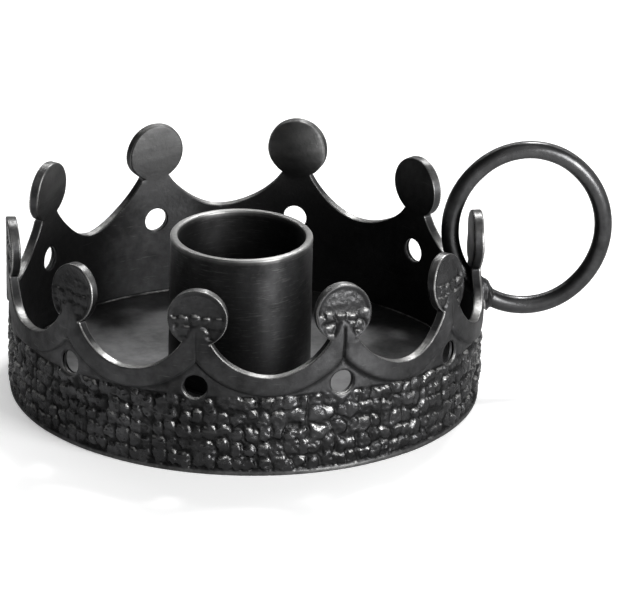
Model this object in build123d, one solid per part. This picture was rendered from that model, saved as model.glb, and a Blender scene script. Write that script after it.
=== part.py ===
from build123d import *

import os
from math import cos, pi, radians, sin, sqrt, tan

# Crown chamberstick: a low candlestick made as a crown, with a tube for the candle and a ring to carry it.
# Millimetres, +Z up. The origin is the middle of the underside, and +X points to the ring.

# Crown band: a strip rolled into a ring that opens a little towards the top
point_count = 10
crown_radius = 41.5       # plain outer surface at the foot
band_wall = 1.4
flare = 1.2               # degrees that the wall leans outwards
point_height = 33.8       # mean height of the points' tops
edge_dip = 1.0            # the cut edge dips by this at the ring and opposite it, and rises between

# Points and scallops
disc_radius = 5.3
handle_drop = 0.8         # the disc over the ring sits this much lower than the others
point_waist = 2.2         # least metal that would be left between two scallops
scallop_floor = 17.75     # mean height of the lowest place of a scallop

# Hem: the raised border along the scallops, which runs up each point as a tongue
hem_relief = 0.35
hem_width = 3.6           # at the lowest place of a scallop
hem_swell = 1.4           # its lower line is a circle larger than the scallop by its width and by this
disc_rim = 0.5
tongue_foot = 5.0         # width at the foot of the disc
tongue_tip = 1.7          # width at the rounded tip
tongue_drop = 2.5         # from the disc's middle down to the middle of the tip's round
hem_groove = 0.45         # width of the groove where two hems meet

# Holes under the points
hole_radius = 2.15
hole_drop = 4.8           # from the place where two hems meet down to a hole's middle

# Base plate and the filler in its joint
base_thickness = 2.5
joint_gap = 0.1
braze_leg = 0.6

# Candle cup: a straight tube for a taper candle
cup_bore_radius = 11.3
cup_wall = 1.3
cup_rim_height = 28.7
cup_rim_round = 0.35
rim_round_share = 0.3     # most of the wall that the round may take on each side
cup_offset = 0.9          # the cup stands this far from the crown's middle, away from the ring

# Ring handle: a round bar bent into a slightly tall ring of four arcs. The lines between the middles of
# its side arcs and end arcs lean as the long side of a 3-4-5 triangle, so the arcs meet smoothly.
oval_rise_share = 4 / 5
oval_run_share = 3 / 5
bar_radius = 1.6
finger_width = 24.1
finger_height = 26.3
ring_reach = 7.95         # from the band's outer surface out to the ring's middle
passage_drop = 2.55       # from the place where two hems meet down to the bar, where it leaves the band
passage_gap = 0.15

# Weld lump that holds the ring
weld_height = 7.1         # on the band
weld_width = 6.0
weld_reach = 2.6
weld_rise = 1.0           # its middle on the band stands this far above the bar
weld_collar = 0.55        # thickness round the bar at the outer end
weld_gap = 0.05

# One overrun for all cuts
overrun = 3.0

# Worked out from the sizes above
pitch = 360 / point_count
half_pitch_length = pi * crown_radius / point_count
flare_slope = tan(radians(flare))
disc_height = point_height - disc_radius
scallop_radius = half_pitch_length - point_waist / 2
scallop_height = scallop_floor + scallop_radius
hem_radius = scallop_radius + hem_width + hem_swell
hem_height = scallop_height + hem_swell
hems_meet_height = hem_height - sqrt(hem_radius**2 - half_pitch_length**2)
blank_height = point_height + edge_dip + overrun
point_angles = [index * pitch for index in range(point_count)]
gap_angles = [angle + pitch / 2 for angle in point_angles]
handle_angle = point_angles[0]

upright = (Align.CENTER, Align.CENTER, Align.MIN)
seam_up = Rot(0, 0, 90)   # turns the seam line of a round cutter to its upper side
seam_in_gap = Rot(0, 0, gap_angles[0])   # keeps a ring's seam line away from the points


def rise(angle):
    """How far the cut edge stands above its mean height at an angle round the crown."""
    return -edge_dip * cos(radians(2 * (angle - handle_angle)))


def disc_middle(angle):
    """Height of a disc's middle."""
    drop = handle_drop if angle == handle_angle else 0
    return disc_height + rise(angle) - drop


def outward(angle, height):
    """Plane on the crown's axis that looks straight out at an angle: x along the band, y up."""
    turn = radians(angle)
    return Plane((0, 0, height), x_dir=(-sin(turn), cos(turn), 0), z_dir=(cos(turn), sin(turn), 0))


def leaning_ring(inner_radius, outer_radius, bottom, top):
    """Ring with the band's lean, between two radii that are measured at the foot."""
    corners = [
        (inner_radius + bottom * flare_slope, bottom),
        (outer_radius + bottom * flare_slope, bottom),
        (outer_radius + top * flare_slope, top),
        (inner_radius + top * flare_slope, top),
    ]
    return seam_in_gap * revolve(Plane.XZ * Polygon(*corners, align=None), axis=Axis.Z)


def rod_through(angle, height, radius):
    """Round rod that goes out through the band, to cut a hole or to keep a disc."""
    start = crown_radius - band_wall - overrun
    length = band_wall + hem_relief + blank_height * flare_slope + 2 * overrun
    rod = Cylinder(radius, length, align=upright)
    return outward(angle, height) * Pos(0, 0, start) * seam_up * rod


def prism_through(angle, height, outline):
    """Outline that is pushed out through the band."""
    reach = crown_radius + hem_relief + blank_height * flare_slope + overrun
    return extrude(outward(angle, height) * outline, amount=reach)


# Parts of the crown band


def tongue_outline():
    """Where two hems run up a disc as one, with its origin at the disc's middle."""
    foot = tongue_foot / 2
    tip = tongue_tip / 2
    corners = [(-foot, -disc_radius), (foot, -disc_radius), (tip, -tongue_drop), (-tip, -tongue_drop)]
    return Polygon(*corners, align=None) + Pos(0, -tongue_drop) * Circle(tip)


def disc_recess(angle, skin):
    """Sunk face of a disc, which leaves its rim and the tongue standing."""
    outline = Circle(disc_radius - disc_rim) - tongue_outline()
    return prism_through(angle, disc_middle(angle), outline) & skin


def neck_groove(angle, skin):
    """Groove between two hems, from where they meet up to the tip of the tongue."""
    bottom = hems_meet_height + rise(angle)
    top = disc_middle(angle) - tongue_drop
    outline = Rectangle(hem_groove, top - bottom, align=(Align.CENTER, Align.MIN))
    return prism_through(angle, bottom, outline) & skin


def hole_cutter(angle):
    """Drill for the hole under a point."""
    return rod_through(angle, hems_meet_height - hole_drop + rise(angle), hole_radius)


def crown_band():
    """The band: a ring with scallops cut out, discs left standing, a raised hem and drilled holes."""
    inner = crown_radius - band_wall
    outer = crown_radius + hem_relief
    blank = leaning_ring(inner, outer, 0, blank_height)
    skirt = leaning_ring(inner, outer, 0, disc_height)
    skin = leaning_ring(crown_radius, outer + overrun, -overrun, blank_height)

    scallops = [rod_through(angle, scallop_height + rise(angle), scallop_radius) for angle in gap_angles]
    discs = [rod_through(angle, disc_middle(angle), disc_radius) & blank for angle in point_angles]
    band = skirt - scallops + discs

    ground = leaning_ring(crown_radius, outer + overrun, -overrun, hem_height)
    ground -= [rod_through(angle, hem_height + rise(angle), hem_radius) for angle in gap_angles]
    band -= ground
    band -= [disc_recess(angle, skin) for angle in point_angles]
    band -= [neck_groove(angle, skin) for angle in point_angles]
    band -= [hole_cutter(angle) for angle in point_angles if angle != handle_angle]
    return band - ring_bar(bar_radius + passage_gap)


# Base and cup


def base_plate():
    """Round floor plate, let into the foot of the band."""
    return Cylinder(crown_radius - band_wall - joint_gap, base_thickness, align=upright)


def braze_line(wall_radius, side):
    """Thin three-cornered line of filler on the base plate, on one side of an upright wall."""
    corner = wall_radius + side * joint_gap
    toe = corner + side * braze_leg
    top = base_thickness + braze_leg
    outline = Polygon((corner, base_thickness), (toe, base_thickness), (corner, top), align=None)
    return revolve(Plane.XZ * outline, axis=Axis.Z)


def base_braze():
    """Filler between the base plate and the band."""
    return braze_line(crown_radius - band_wall + base_thickness * flare_slope, -1)


def cup_braze():
    """Filler round the foot of the cup."""
    return Pos(-cup_offset, 0, 0) * braze_line(cup_bore_radius + cup_wall, 1)


def candle_cup():
    """Straight tube with a softened rim."""
    height = cup_rim_height - base_thickness
    tube = Cylinder(cup_bore_radius + cup_wall, height, align=upright)
    tube -= Cylinder(cup_bore_radius, height, align=upright)
    rim = tube.edges().group_by(Axis.Z)[-1]
    return Pos(-cup_offset, 0, base_thickness) * fillet(rim, min(cup_rim_round, rim_round_share * cup_wall))


# Ring and weld

half_width = finger_width / 2 + bar_radius
half_height = finger_height / 2 + bar_radius
tallness = half_height - half_width
middles_apart = tallness / (oval_rise_share + oval_run_share - 1)
end_shift = oval_rise_share * middles_apart
side_shift = oval_run_share * middles_apart
end_radius = half_height - end_shift
side_radius = half_width + side_shift
join_x = oval_run_share * end_radius
join_z = end_shift + oval_rise_share * end_radius
passage_height = hems_meet_height + rise(handle_angle) - passage_drop
wall_at_passage = crown_radius + passage_height * flare_slope
ring_x = wall_at_passage + ring_reach
ring_z = passage_height + half_height * sqrt(1 - (ring_reach / half_width) ** 2)


def ring_bar(radius):
    """Round bar along the ring's oval, in the upright plane through the crown's axis."""
    corners = [(join_x, -join_z), (join_x, join_z), (-join_x, join_z), (-join_x, -join_z)]
    tops = [(half_width, 0), (0, half_height), (-half_width, 0), (0, -half_height)]
    oval = Plane((ring_x, 0, ring_z), x_dir=(1, 0, 0), z_dir=(0, -1, 0))
    arcs = [
        oval * ThreePointArc(corners[index], tops[index], corners[(index + 1) % len(corners)])
        for index in range(len(corners))
    ]
    path = Wire(arcs)
    return sweep(Plane(path @ 0, z_dir=path % 0) * Circle(radius), path=path)


def bar_height(reach):
    """Height of the bar's middle on the lower half of the ring, at a distance from the crown's axis."""
    offset = abs(reach - ring_x)
    if offset < join_x:
        return ring_z - end_shift - sqrt(end_radius**2 - offset**2)
    return ring_z - sqrt(side_radius**2 - (offset + side_shift) ** 2)


def handle_weld(band):
    """Lump of weld on the band, round the bar, cut to fit both."""
    outer_x = wall_at_passage + weld_reach
    collar = bar_radius + passage_gap + weld_collar
    lean = abs(bar_height(outer_x) - passage_height) / weld_reach
    foot = outward(handle_angle, passage_height + weld_rise) * Pos(0, 0, crown_radius - band_wall)
    tip = outward(handle_angle, bar_height(outer_x)) * Pos(0, 0, outer_x)
    lump = loft([
        foot * Ellipse(weld_width / 2, weld_height / 2),
        tip * Ellipse(collar, collar * sqrt(1 + lean**2)),
    ])
    core = leaning_ring(0, crown_radius, 0, blank_height)
    lump = Pos(weld_gap, 0, 0) * (lump - core - band)
    return lump - band - ring_bar(bar_radius + weld_gap)


band = crown_band()
nodes = {
    "crown_band": band,
    "base_plate": base_plate(),
    "base_braze": base_braze(),
    "candle_cup": candle_cup(),
    "cup_braze": cup_braze(),
    "ring_handle": ring_bar(bar_radius),
    "handle_weld": handle_weld(band),
}

os.makedirs("parts", exist_ok=True)
for name, solid in nodes.items():
    export_step(solid, f"parts/{name}.step")
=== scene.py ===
from math import atan2, ceil, cos, pi, radians, sin, sqrt, tan

import bpy
import numpy as np
from mathutils import Matrix, Vector
from mathutils.geometry import delaunay_2d_cdt

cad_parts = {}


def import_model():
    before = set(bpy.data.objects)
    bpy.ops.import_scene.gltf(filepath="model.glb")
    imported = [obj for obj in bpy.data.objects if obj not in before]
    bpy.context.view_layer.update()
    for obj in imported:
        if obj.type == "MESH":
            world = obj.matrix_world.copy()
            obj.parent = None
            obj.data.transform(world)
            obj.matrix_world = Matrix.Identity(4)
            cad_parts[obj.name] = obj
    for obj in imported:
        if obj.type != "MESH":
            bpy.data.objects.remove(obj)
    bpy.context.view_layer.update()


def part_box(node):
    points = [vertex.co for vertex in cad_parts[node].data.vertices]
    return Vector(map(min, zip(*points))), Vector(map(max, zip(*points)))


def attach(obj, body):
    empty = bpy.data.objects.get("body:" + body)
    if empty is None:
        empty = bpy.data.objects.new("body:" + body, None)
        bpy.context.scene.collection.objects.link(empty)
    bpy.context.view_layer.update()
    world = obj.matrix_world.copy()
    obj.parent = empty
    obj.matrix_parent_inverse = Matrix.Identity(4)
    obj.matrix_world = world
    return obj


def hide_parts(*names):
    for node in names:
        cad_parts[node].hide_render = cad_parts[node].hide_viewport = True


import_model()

# Lengths are millimetres, and become metres when a mesh or lamp is made.
MM = 0.001


def node_box(node):
    """Lowest and highest corner of a frame node, in millimetres."""
    low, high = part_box(node)
    return np.array(low) / MM, np.array(high) / MM


# Sizes that the frame gives
plate_low, plate_high = node_box("base_plate")
cup_low, cup_high = node_box("candle_cup")
ring_low, ring_high = node_box("ring_handle")
weld_low, weld_high = node_box("handle_weld")
plate_radius = (plate_high[0] - plate_low[0]) / 2
plate_top = plate_high[2]
cup_radius = (cup_high[0] - cup_low[0]) / 2
cup_x = (cup_high[0] + cup_low[0]) / 2
cup_top = cup_high[2]
bar_radius = (ring_high[1] - ring_low[1]) / 2
ring_x = (ring_high[0] + ring_low[0]) / 2
ring_z = (ring_high[2] + ring_low[2]) / 2
ring_half_width = (ring_high[0] - ring_low[0]) / 2 - bar_radius
ring_half_height = (ring_high[2] - ring_low[2]) / 2 - bar_radius

# Crown band
point_count = 10
crown_radius = 41.5
band_wall = 1.4
flare = 1.2
point_height = 33.8
edge_dip = 1.0
dip_start = 2.0           # below this height the band keeps its height, above dip_end it has the full dip
dip_end = 15.0
disc_radius = 5.3
handle_drop = 0.8         # the disc over the ring sits lower
point_waist = 2.2
scallop_floor = 17.75
hem_relief = 0.35
hem_width = 3.6
hem_swell = 1.4
disc_rim = 0.2
tongue_foot = 5.0
tongue_tip = 1.7
tongue_drop = 2.5
hole_radius = 2.15
hole_drop = 4.8
passage_gap = 0.15

# Soft edges, grooves and texture of the band
cut_round = 0.26          # outer corner of the cut edge
inner_round = 0.2
foot_round = 0.3
hole_round = 0.45
step_width = 0.3          # over which a raised border falls to the ground
sunk_slope = 0.9          # over which a disc's face falls from its rim
hair = 0.01
groove_depth = 0.36
groove_width = 0.33
groove_shift = 0.1        # the groove lies this far below the hem's line
no_groove = 1.0           # distance from the hem's line that stands for places without one
patch_mean_share = 0.8    # of a groove's depth, about which it swings in patches
patch_swing_share = 0.4
patch_grain = 6.0
neck_wander = 0.3
neck_wander_grain = 3.0
neck_fade_low = 0.6       # over which the groove up a point begins and ends
neck_fade_high = 0.5
neck_groove_depth = 0.4
neck_groove_width = 0.17
field_bottom = 1.0
field_top = 13.85
cobble_rows = 5
cobble_columns = 112
cobble_relief = 0.65
cobble_sink = 0.42        # ground between the cobbles
warp_along = 0.5          # how far the rows of cobbles wander
warp_along_grain = 1.5
warp_up = 0.4
warp_up_grain = 1.7
field_fade_low = (-0.25, 0.1)     # from the field's lower edge
field_fade_high = (0.3, -0.1)     # from its upper edge
field_fade_hole = (0.15, 0.9)     # from the edge of a hole
disc_rows = 3
disc_cobble_width = 1.9
disc_cobble_height = 1.95
disc_cobble_relief = 0.62
disc_lump_share = 0.4     # of the lumps, on the discs
disc_cobble_top = 0.35    # from a disc's middle up to where its face is nearly smooth
disc_warp_along_share = 0.25      # of a cobble
disc_warp_up_share = 0.12
disc_warp_grain = 1.5
disc_fade = (0.9, 0.2)            # above the rows of cobbles
disc_ground_share = 0.45          # of the relief, taken off between the cobbles
disc_smooth_share = 0.25          # less is taken off the smooth face
disc_smooth_height = 1.5
lump_relief = 0.13        # broken faces of the cobbles
lump_grain = 0.9
fine_relief = 0.085
fine_grain = 0.5
uneven_relief = 0.04      # of the whole outer face
uneven_grain = 4.5
inner_uneven_relief = 0.05
inner_uneven_grain = 5.0
mesh_step = 0.24          # on the cobbles
plain_step = 0.6          # on the smooth places
inner_step = 1.1
edge_step = 0.4           # along edges
edge_offsets = [0.05, 0.12, 0.2, 0.3]   # rows of points beside an edge, to round it
groove_offsets = [-0.42, -0.24, -0.1, 0.04, 0.18, 0.34]   # rows of points along a groove
groove_room = 0.5         # beside a groove no other points are set
cut_rows_shares = [0.12, 0.88]          # rows of points across a cut face
row_kept_share = 0.97     # of its distance, at which a point of a row beside the edge is kept
same_place = 1e-7
hole_slack_share = 1e-3

# One cobble, as shares of its cell: the least and the most of what is drawn for each
stone_shift_shares = (-0.16, 0.16)
stone_half_width_shares = (0.42, 0.62)
stone_half_height_shares = (0.42, 0.56)
stone_lean_shares = (-0.3, 0.5)
stone_tilt_shares = (-0.2, 0.5)
stone_lift_shares = (0.45, 1.0)
squareness = 2.8
flatness = 2.8

# Rubbed and brushed places of the band, with its painted highlights, painted glints and painted shade
edge_rub = 0.7
edge_rub_reach = (0.18, 0.04)     # from the cut edge
# painted highlight on the lower lip of each hole
hole_lip_highlight = 0.5
hole_lip_highlight_reach = (0.35, 0.1)      # from a hole's edge, on its lower lip
lip_start = -0.2
# painted sheen along the foot of the band, below the cobbles
foot_sheen = 0.25
foot_sheen_height = 0.3
# painted shade in the pits between the cobbles and on the sunk faces of the discs
pit_shade_depth = -0.4
disc_shade = 0.42
# painted glints: bare metal on the cobble flanks that face up
glint_luck = 0.5          # a cobble with this much luck glints in full
glint_paint = 0.75
glint_facing = (0.28, 0.62)       # how much a glinting place faces up
inner_rub = 0.35
inner_rub_reach = (0.14, 0.04)
# painted highlight on the cut faces that face up
disc_cut_highlight = 0.55
disc_cut_facing = (0.1, 0.8)
scallop_cut_facing = (0.62, 0.97)
streak_length = 3.5
streak_height = 0.4
streak_mean_share = 0.8
streak_swing_share = 0.3

# How the points were bent by hand: outwards and along the band, at their discs, from the ring on
point_leans = [-0.4, 0.0, 0.2, -0.5, -0.5, 0.0, -0.9, 0.0, -0.8, -1.2]
point_slides = [0.0, 0.0, -0.7, -0.3, 0.0, 0.0, 0.0, 0.0, 0.0, 0.0]
point_bows = [-0.6, 0.0, 0.0, 0.0, 0.0, 0.0, 0.0, 0.0, 0.0, 0.0]
point_drops = [0.0, 0.85, 0.0, 0.0, 0.0, 0.0, 0.0, 0.0, 0.0, 0.0]
hole_slides = [0.0, 0.0, -0.6, -0.6, -0.6, 0.0, 0.25, -0.25, -0.25, -0.9]
hole_lifts = [0.0, 0.0, 0.0, 0.0, 0.0, 0.0, 0.3, 0.05, 0.42, 0.5]

# How much higher the scallop after each point was cut
scallop_lifts = [-0.3, -0.5, -0.6, -1.9, -0.3, 0.7, 0.1, 0.0, 0.0, 0.1]

# How clear the hem's lower line is in each gap, the groove up each point, and the cobbles of each disc
groove_shares = [0.8, 0.6, 0.6, 0.6, 0.6, 0.3, 0.4, 1.0, 1.25, 0.6]
neck_shares = [0.5, 0.5, 0.5, 0.5, 0.5, 0.1, 0.1, 0.25, 1.1, 0.5]
disc_relief_shares = [0.6, 0.6, 0.6, 0.6, 0.6, 0.5, 0.4, 0.9, 1.0, 0.8]

# Inner faces of the discs: how far they stand out in the middle, and how pale they are brushed, a pale tone
# that is partly painted light
inner_domes = [0.4, 0.4, 1.7, 0.3, 0.3, 0.4, 0.4, 0.4, 0.4, 0.4]
brushed_and_lit_shares = [0.1, 0.05, 0.6, 0.32, 0.6, 0.2, 0.2, 0.2, 0.2, 0.2]

# How a point's bend grows with height, and which share of half a pitch a point takes up
bend_power = 1.5
point_foot_share = 0.25

# Cup
cup_wall = 1.3
cup_rim_round = 0.4
cup_waviness = 0.012
cup_segments = 192
# the rim is bare where rubbed and carries a painted highlight; the bore gets painted shade
cup_rim_rub_and_highlight = 0.6
cup_rim_end_rub_and_highlight = 0.3
bore_shade = 0.75

# Base plate and filler
plate_round = 0.3
plate_rings = 24
plate_segments = 160
leg_share = 0.5           # of the filler's height in the frame
toe_in_share = 0.45       # its hollow profile, as shares of that leg
toe_up_share = 0.2
heel_out_share = 0.2
heel_up_share = 0.55
toe_rub_share = 0.2
filler_waviness = 0.06
filler_segments = 240
filler_patches = 70
base_filler_rub = 0.45
cup_filler_rub = 0.1
patch_edges = (-0.1, 0.5)
sway_cells = 24           # round a turned piece
sway_height = 3.5

# Ring's oval, as in the frame: four arcs on a 3-4-5 triangle
oval_rise_share = 4 / 5
oval_run_share = 3 / 5
bar_step = 0.6
bar_sides = 40
bar_dent = 0.02
dent_length = 6.0         # in steps along the bar
dents_round = 5
# painted highlight: bare metal along the outer side of the bar
bar_highlight = 0.2
bar_highlight_facing = (0.75, 1.0)
height_step = 0.02        # at which the bar's height is looked up

# Weld, as the frame has it but fuller and higher on the band
weld_rows = 30
weld_sides = 64
weld_root = 0.2           # behind the band's face
weld_clear = 0.02
weld_lift = 0.45
weld_end_share = 0.9      # of the bar's radius
weld_taper_share = 0.6
weld_tip_share = 0.4
weld_tip_start_share = 0.5
weld_mean_share = 0.93
bead_fade_share = 0.8
beads_round = 9
beads_along = 4
bead_share = 0.1
spatter_round = 20
spatter_along = 8
spatter_share = 0.08
# bare weld crests are partly painted glints; the hollows between beads get painted shade
weld_rub_and_glint = 0.7
weld_rub_and_glint_beads = (0.02, 0.12)
weld_shade_beads = (-0.02, -0.1)

# Starts of the random draws
seeds = {
    "warp along": 11, "warp up": 12, "field": 13, "disc along": 14, "disc up": 15, "fine": 16, "uneven": 17,
    "lumps": 18, "inner": 21, "streaks": 22, "patches": 23, "neck": 24, "cup": 31, "plate": 32, "filler": 33,
    "bar": 41, "beads": 51, "spatter": 52, "discs": 100,
}

# Colours
dark_iron = (0.046, 0.046, 0.047, 1)
bare_iron = (0.36, 0.358, 0.352, 1)
# pale brushed tone of the inner disc faces, partly painted light
pale_brushed_and_lit_iron = (0.2, 0.2, 0.198, 1)
bar_colour = (0.056, 0.056, 0.057, 1)
plate_colour = (0.09, 0.09, 0.091, 1)
filler_colour = (0.03, 0.03, 0.03, 1)
# painted shade in grooves, pits, sunk disc faces, the bore and weld hollows; darker filler at the joints
soot_and_shade_colour = (0.012, 0.012, 0.012, 1)
white = (1, 1, 1, 1)
dark_edge = (0.6, 0.6, 0.6, 1)   # tint of what is seen at a glancing angle

# Worked out from the sizes above
pitch = 2 * pi / point_count
half_pitch = pi * crown_radius / point_count
circumference = 2 * pi * crown_radius
flare_slope = tan(radians(flare))
disc_height = point_height - disc_radius
scallop_radius = half_pitch - point_waist / 2
scallop_height = scallop_floor + scallop_radius
hem_radius = scallop_radius + hem_width + hem_swell
hem_height = scallop_height + hem_swell
hems_meet = hem_height - sqrt(hem_radius**2 - half_pitch**2)
hole_height = hems_meet - hole_drop
neck_top = disc_height - tongue_drop
disc_row_top = disc_height + disc_cobble_top


# Shared numbers and noise


def ramp(value, start, stop):
    """Soft step from 0 at start to 1 at stop."""
    share = np.clip((value - start) / (stop - start), 0, 1)
    return share * share * (3 - 2 * share)


def noise(u, v, seed, period=None):
    """Soft random field from -1 to 1 with cells of size 1. It repeats in u after period cells."""
    table_size = 257
    table = np.random.default_rng(seed).uniform(-1, 1, (table_size, table_size))
    column = np.floor(u).astype(int)
    row = np.floor(v).astype(int)
    u_share = ramp(u - column, 0, 1)
    v_share = ramp(v - row, 0, 1)
    wrap = period or table_size

    def corner(right, up):
        return table[(column + right) % wrap % table_size, (row + up) % table_size]

    lower = corner(0, 0) * (1 - u_share) + corner(1, 0) * u_share
    upper = corner(0, 1) * (1 - u_share) + corner(1, 1) * u_share
    return lower * (1 - v_share) + upper * v_share


def band_noise(around, z, cell, seed):
    """Soft random field on the band, with cells of a given size, which closes round it."""
    count = round(circumference / cell)
    return noise(around / circumference * count, z / cell, seed, count)


def corner_drop(distance, radius):
    """How far a rounded corner falls away at a distance from the edge."""
    inside = np.clip(radius - distance, 0, radius)
    return radius - np.sqrt(radius**2 - inside**2)


# Meshes


def weld_points(points, faces):
    """Joins points in the same place, and drops corners and faces that this leaves empty."""
    decimals = 4
    _, first, joined = np.unique(np.round(points, decimals), axis=0, return_index=True, return_inverse=True)
    joined = joined.ravel()
    clean = []
    for face in faces:
        corners = list(dict.fromkeys(int(joined[corner]) for corner in face))
        if len(corners) > 2:
            clean.append(corners)
    return first, clean


def make_piece(name, node, points, faces, marks, material):
    """Mesh that stands for a frame node. Marks are numbers for each point that the material reads."""
    first, faces = weld_points(points, faces)
    mesh = bpy.data.meshes.new(name)
    mesh.from_pydata((points[first] * MM).tolist(), [], faces)
    for mark, values in marks.items():
        layer = mesh.attributes.new(mark, "FLOAT", "POINT")
        layer.data.foreach_set("value", np.asarray(values, np.float32)[first])
    mesh.polygons.foreach_set("use_smooth", np.ones(len(mesh.polygons), bool))
    mesh.materials.append(material)
    mesh.validate()
    mesh.update()
    piece = bpy.data.objects.new(name, mesh)
    bpy.context.scene.collection.objects.link(piece)
    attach(piece, "root")
    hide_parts(node)
    return piece


def grid_faces(rows, columns, close_rows=False):
    """Four-cornered faces of a grid of points whose columns close round on themselves."""
    faces = []
    for row in range(rows if close_rows else rows - 1):
        above = (row + 1) % rows
        for column in range(columns):
            after = (column + 1) % columns
            faces.append((row * columns + column, row * columns + after,
                          above * columns + after, above * columns + column))
    return faces


# Crown band, worked out flat: s runs along the band from the middle of a point, z runs up


def middle_distance(s, z, middle_s, middle_z):
    """Distance from a middle on the flat band."""
    return np.hypot(s - middle_s, z - middle_z)


def circles_cross():
    """Where a scallop's circle meets a disc's circle, on the right of the point."""
    apart = np.array([half_pitch, scallop_height - disc_height])
    length = np.hypot(*apart)
    along = (disc_radius**2 - scallop_radius**2 + length**2) / (2 * length)
    across = sqrt(disc_radius**2 - along**2)
    unit = apart / length
    lower = np.array([unit[1], -unit[0]])
    return along * unit + across * lower + (0, disc_height)


cusp = circles_cross()


def edge_distance(s, z):
    """Distance from the cut edge, inside the metal."""
    scallop = middle_distance(np.abs(s), z, half_pitch, scallop_height) - scallop_radius
    disc = disc_radius - middle_distance(s, z, 0, disc_height)
    return np.where(z > cusp[1], disc, np.maximum(scallop, disc))


def arc(middle, radius, start, stop, step):
    """Points along an arc, without its last point."""
    count = max(2, ceil(abs(stop - start) * radius / step))
    angles = np.linspace(start, stop, count, endpoint=False)
    return np.stack([middle[0] + radius * np.cos(angles), middle[1] + radius * np.sin(angles)], 1)


def line(start, stop, step):
    """Points along a line, without its last point."""
    count = max(1, ceil(np.hypot(stop[0] - start[0], stop[1] - start[1]) / step))
    shares = np.linspace(0, 1, count, endpoint=False)[:, None]
    return np.array(start) * (1 - shares) + np.array(stop) * shares


def cut_line(offset, step):
    """Points along the cut edge, from the right gap over the disc to the left gap, moved into the metal."""
    to_cusp = atan2(cusp[1] - scallop_height, cusp[0] - half_pitch) % (2 * pi)
    disc_start = atan2(cusp[1] - disc_height, cusp[0])
    right = arc((half_pitch, scallop_height), scallop_radius + offset, 1.5 * pi, to_cusp, step)
    disc = arc((0, disc_height), disc_radius - offset, disc_start, pi - disc_start, step)
    left = arc((-half_pitch, scallop_height), scallop_radius + offset, pi - to_cusp, -pi / 2, step)
    return np.concatenate([right, disc, left])


def oval_loop(middle_z, half_s, half_z, grow, step):
    """Closed loop round a hole, grown outwards."""
    count = ceil(2 * pi * half_s / step)
    angles = np.linspace(0, 2 * pi, count, endpoint=False)
    return np.stack([(half_s + grow) * np.cos(angles), middle_z + (half_z + grow) * np.sin(angles)], 1)


def hem_distance(s, z):
    """Distance above the hem's lower line, less than zero below it."""
    return hem_radius - middle_distance(np.abs(s), z, half_pitch, hem_height)


def hole_distance(s, z, hole):
    """Distance outside the edge of a hole, which is given as its middle's height and its half sizes."""
    middle_z, half_s, half_z = hole
    return (np.hypot(s / half_s, (z - middle_z) / half_z) - 1) * half_s


def needs_detail(s, z):
    """Whether a place is on the cobbles of the field or of a disc."""
    in_field = (z > field_bottom - 2 * mesh_step) & (z < field_top + 2 * mesh_step)
    return in_field | (middle_distance(s, z, 0, disc_height) < disc_radius)


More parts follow.
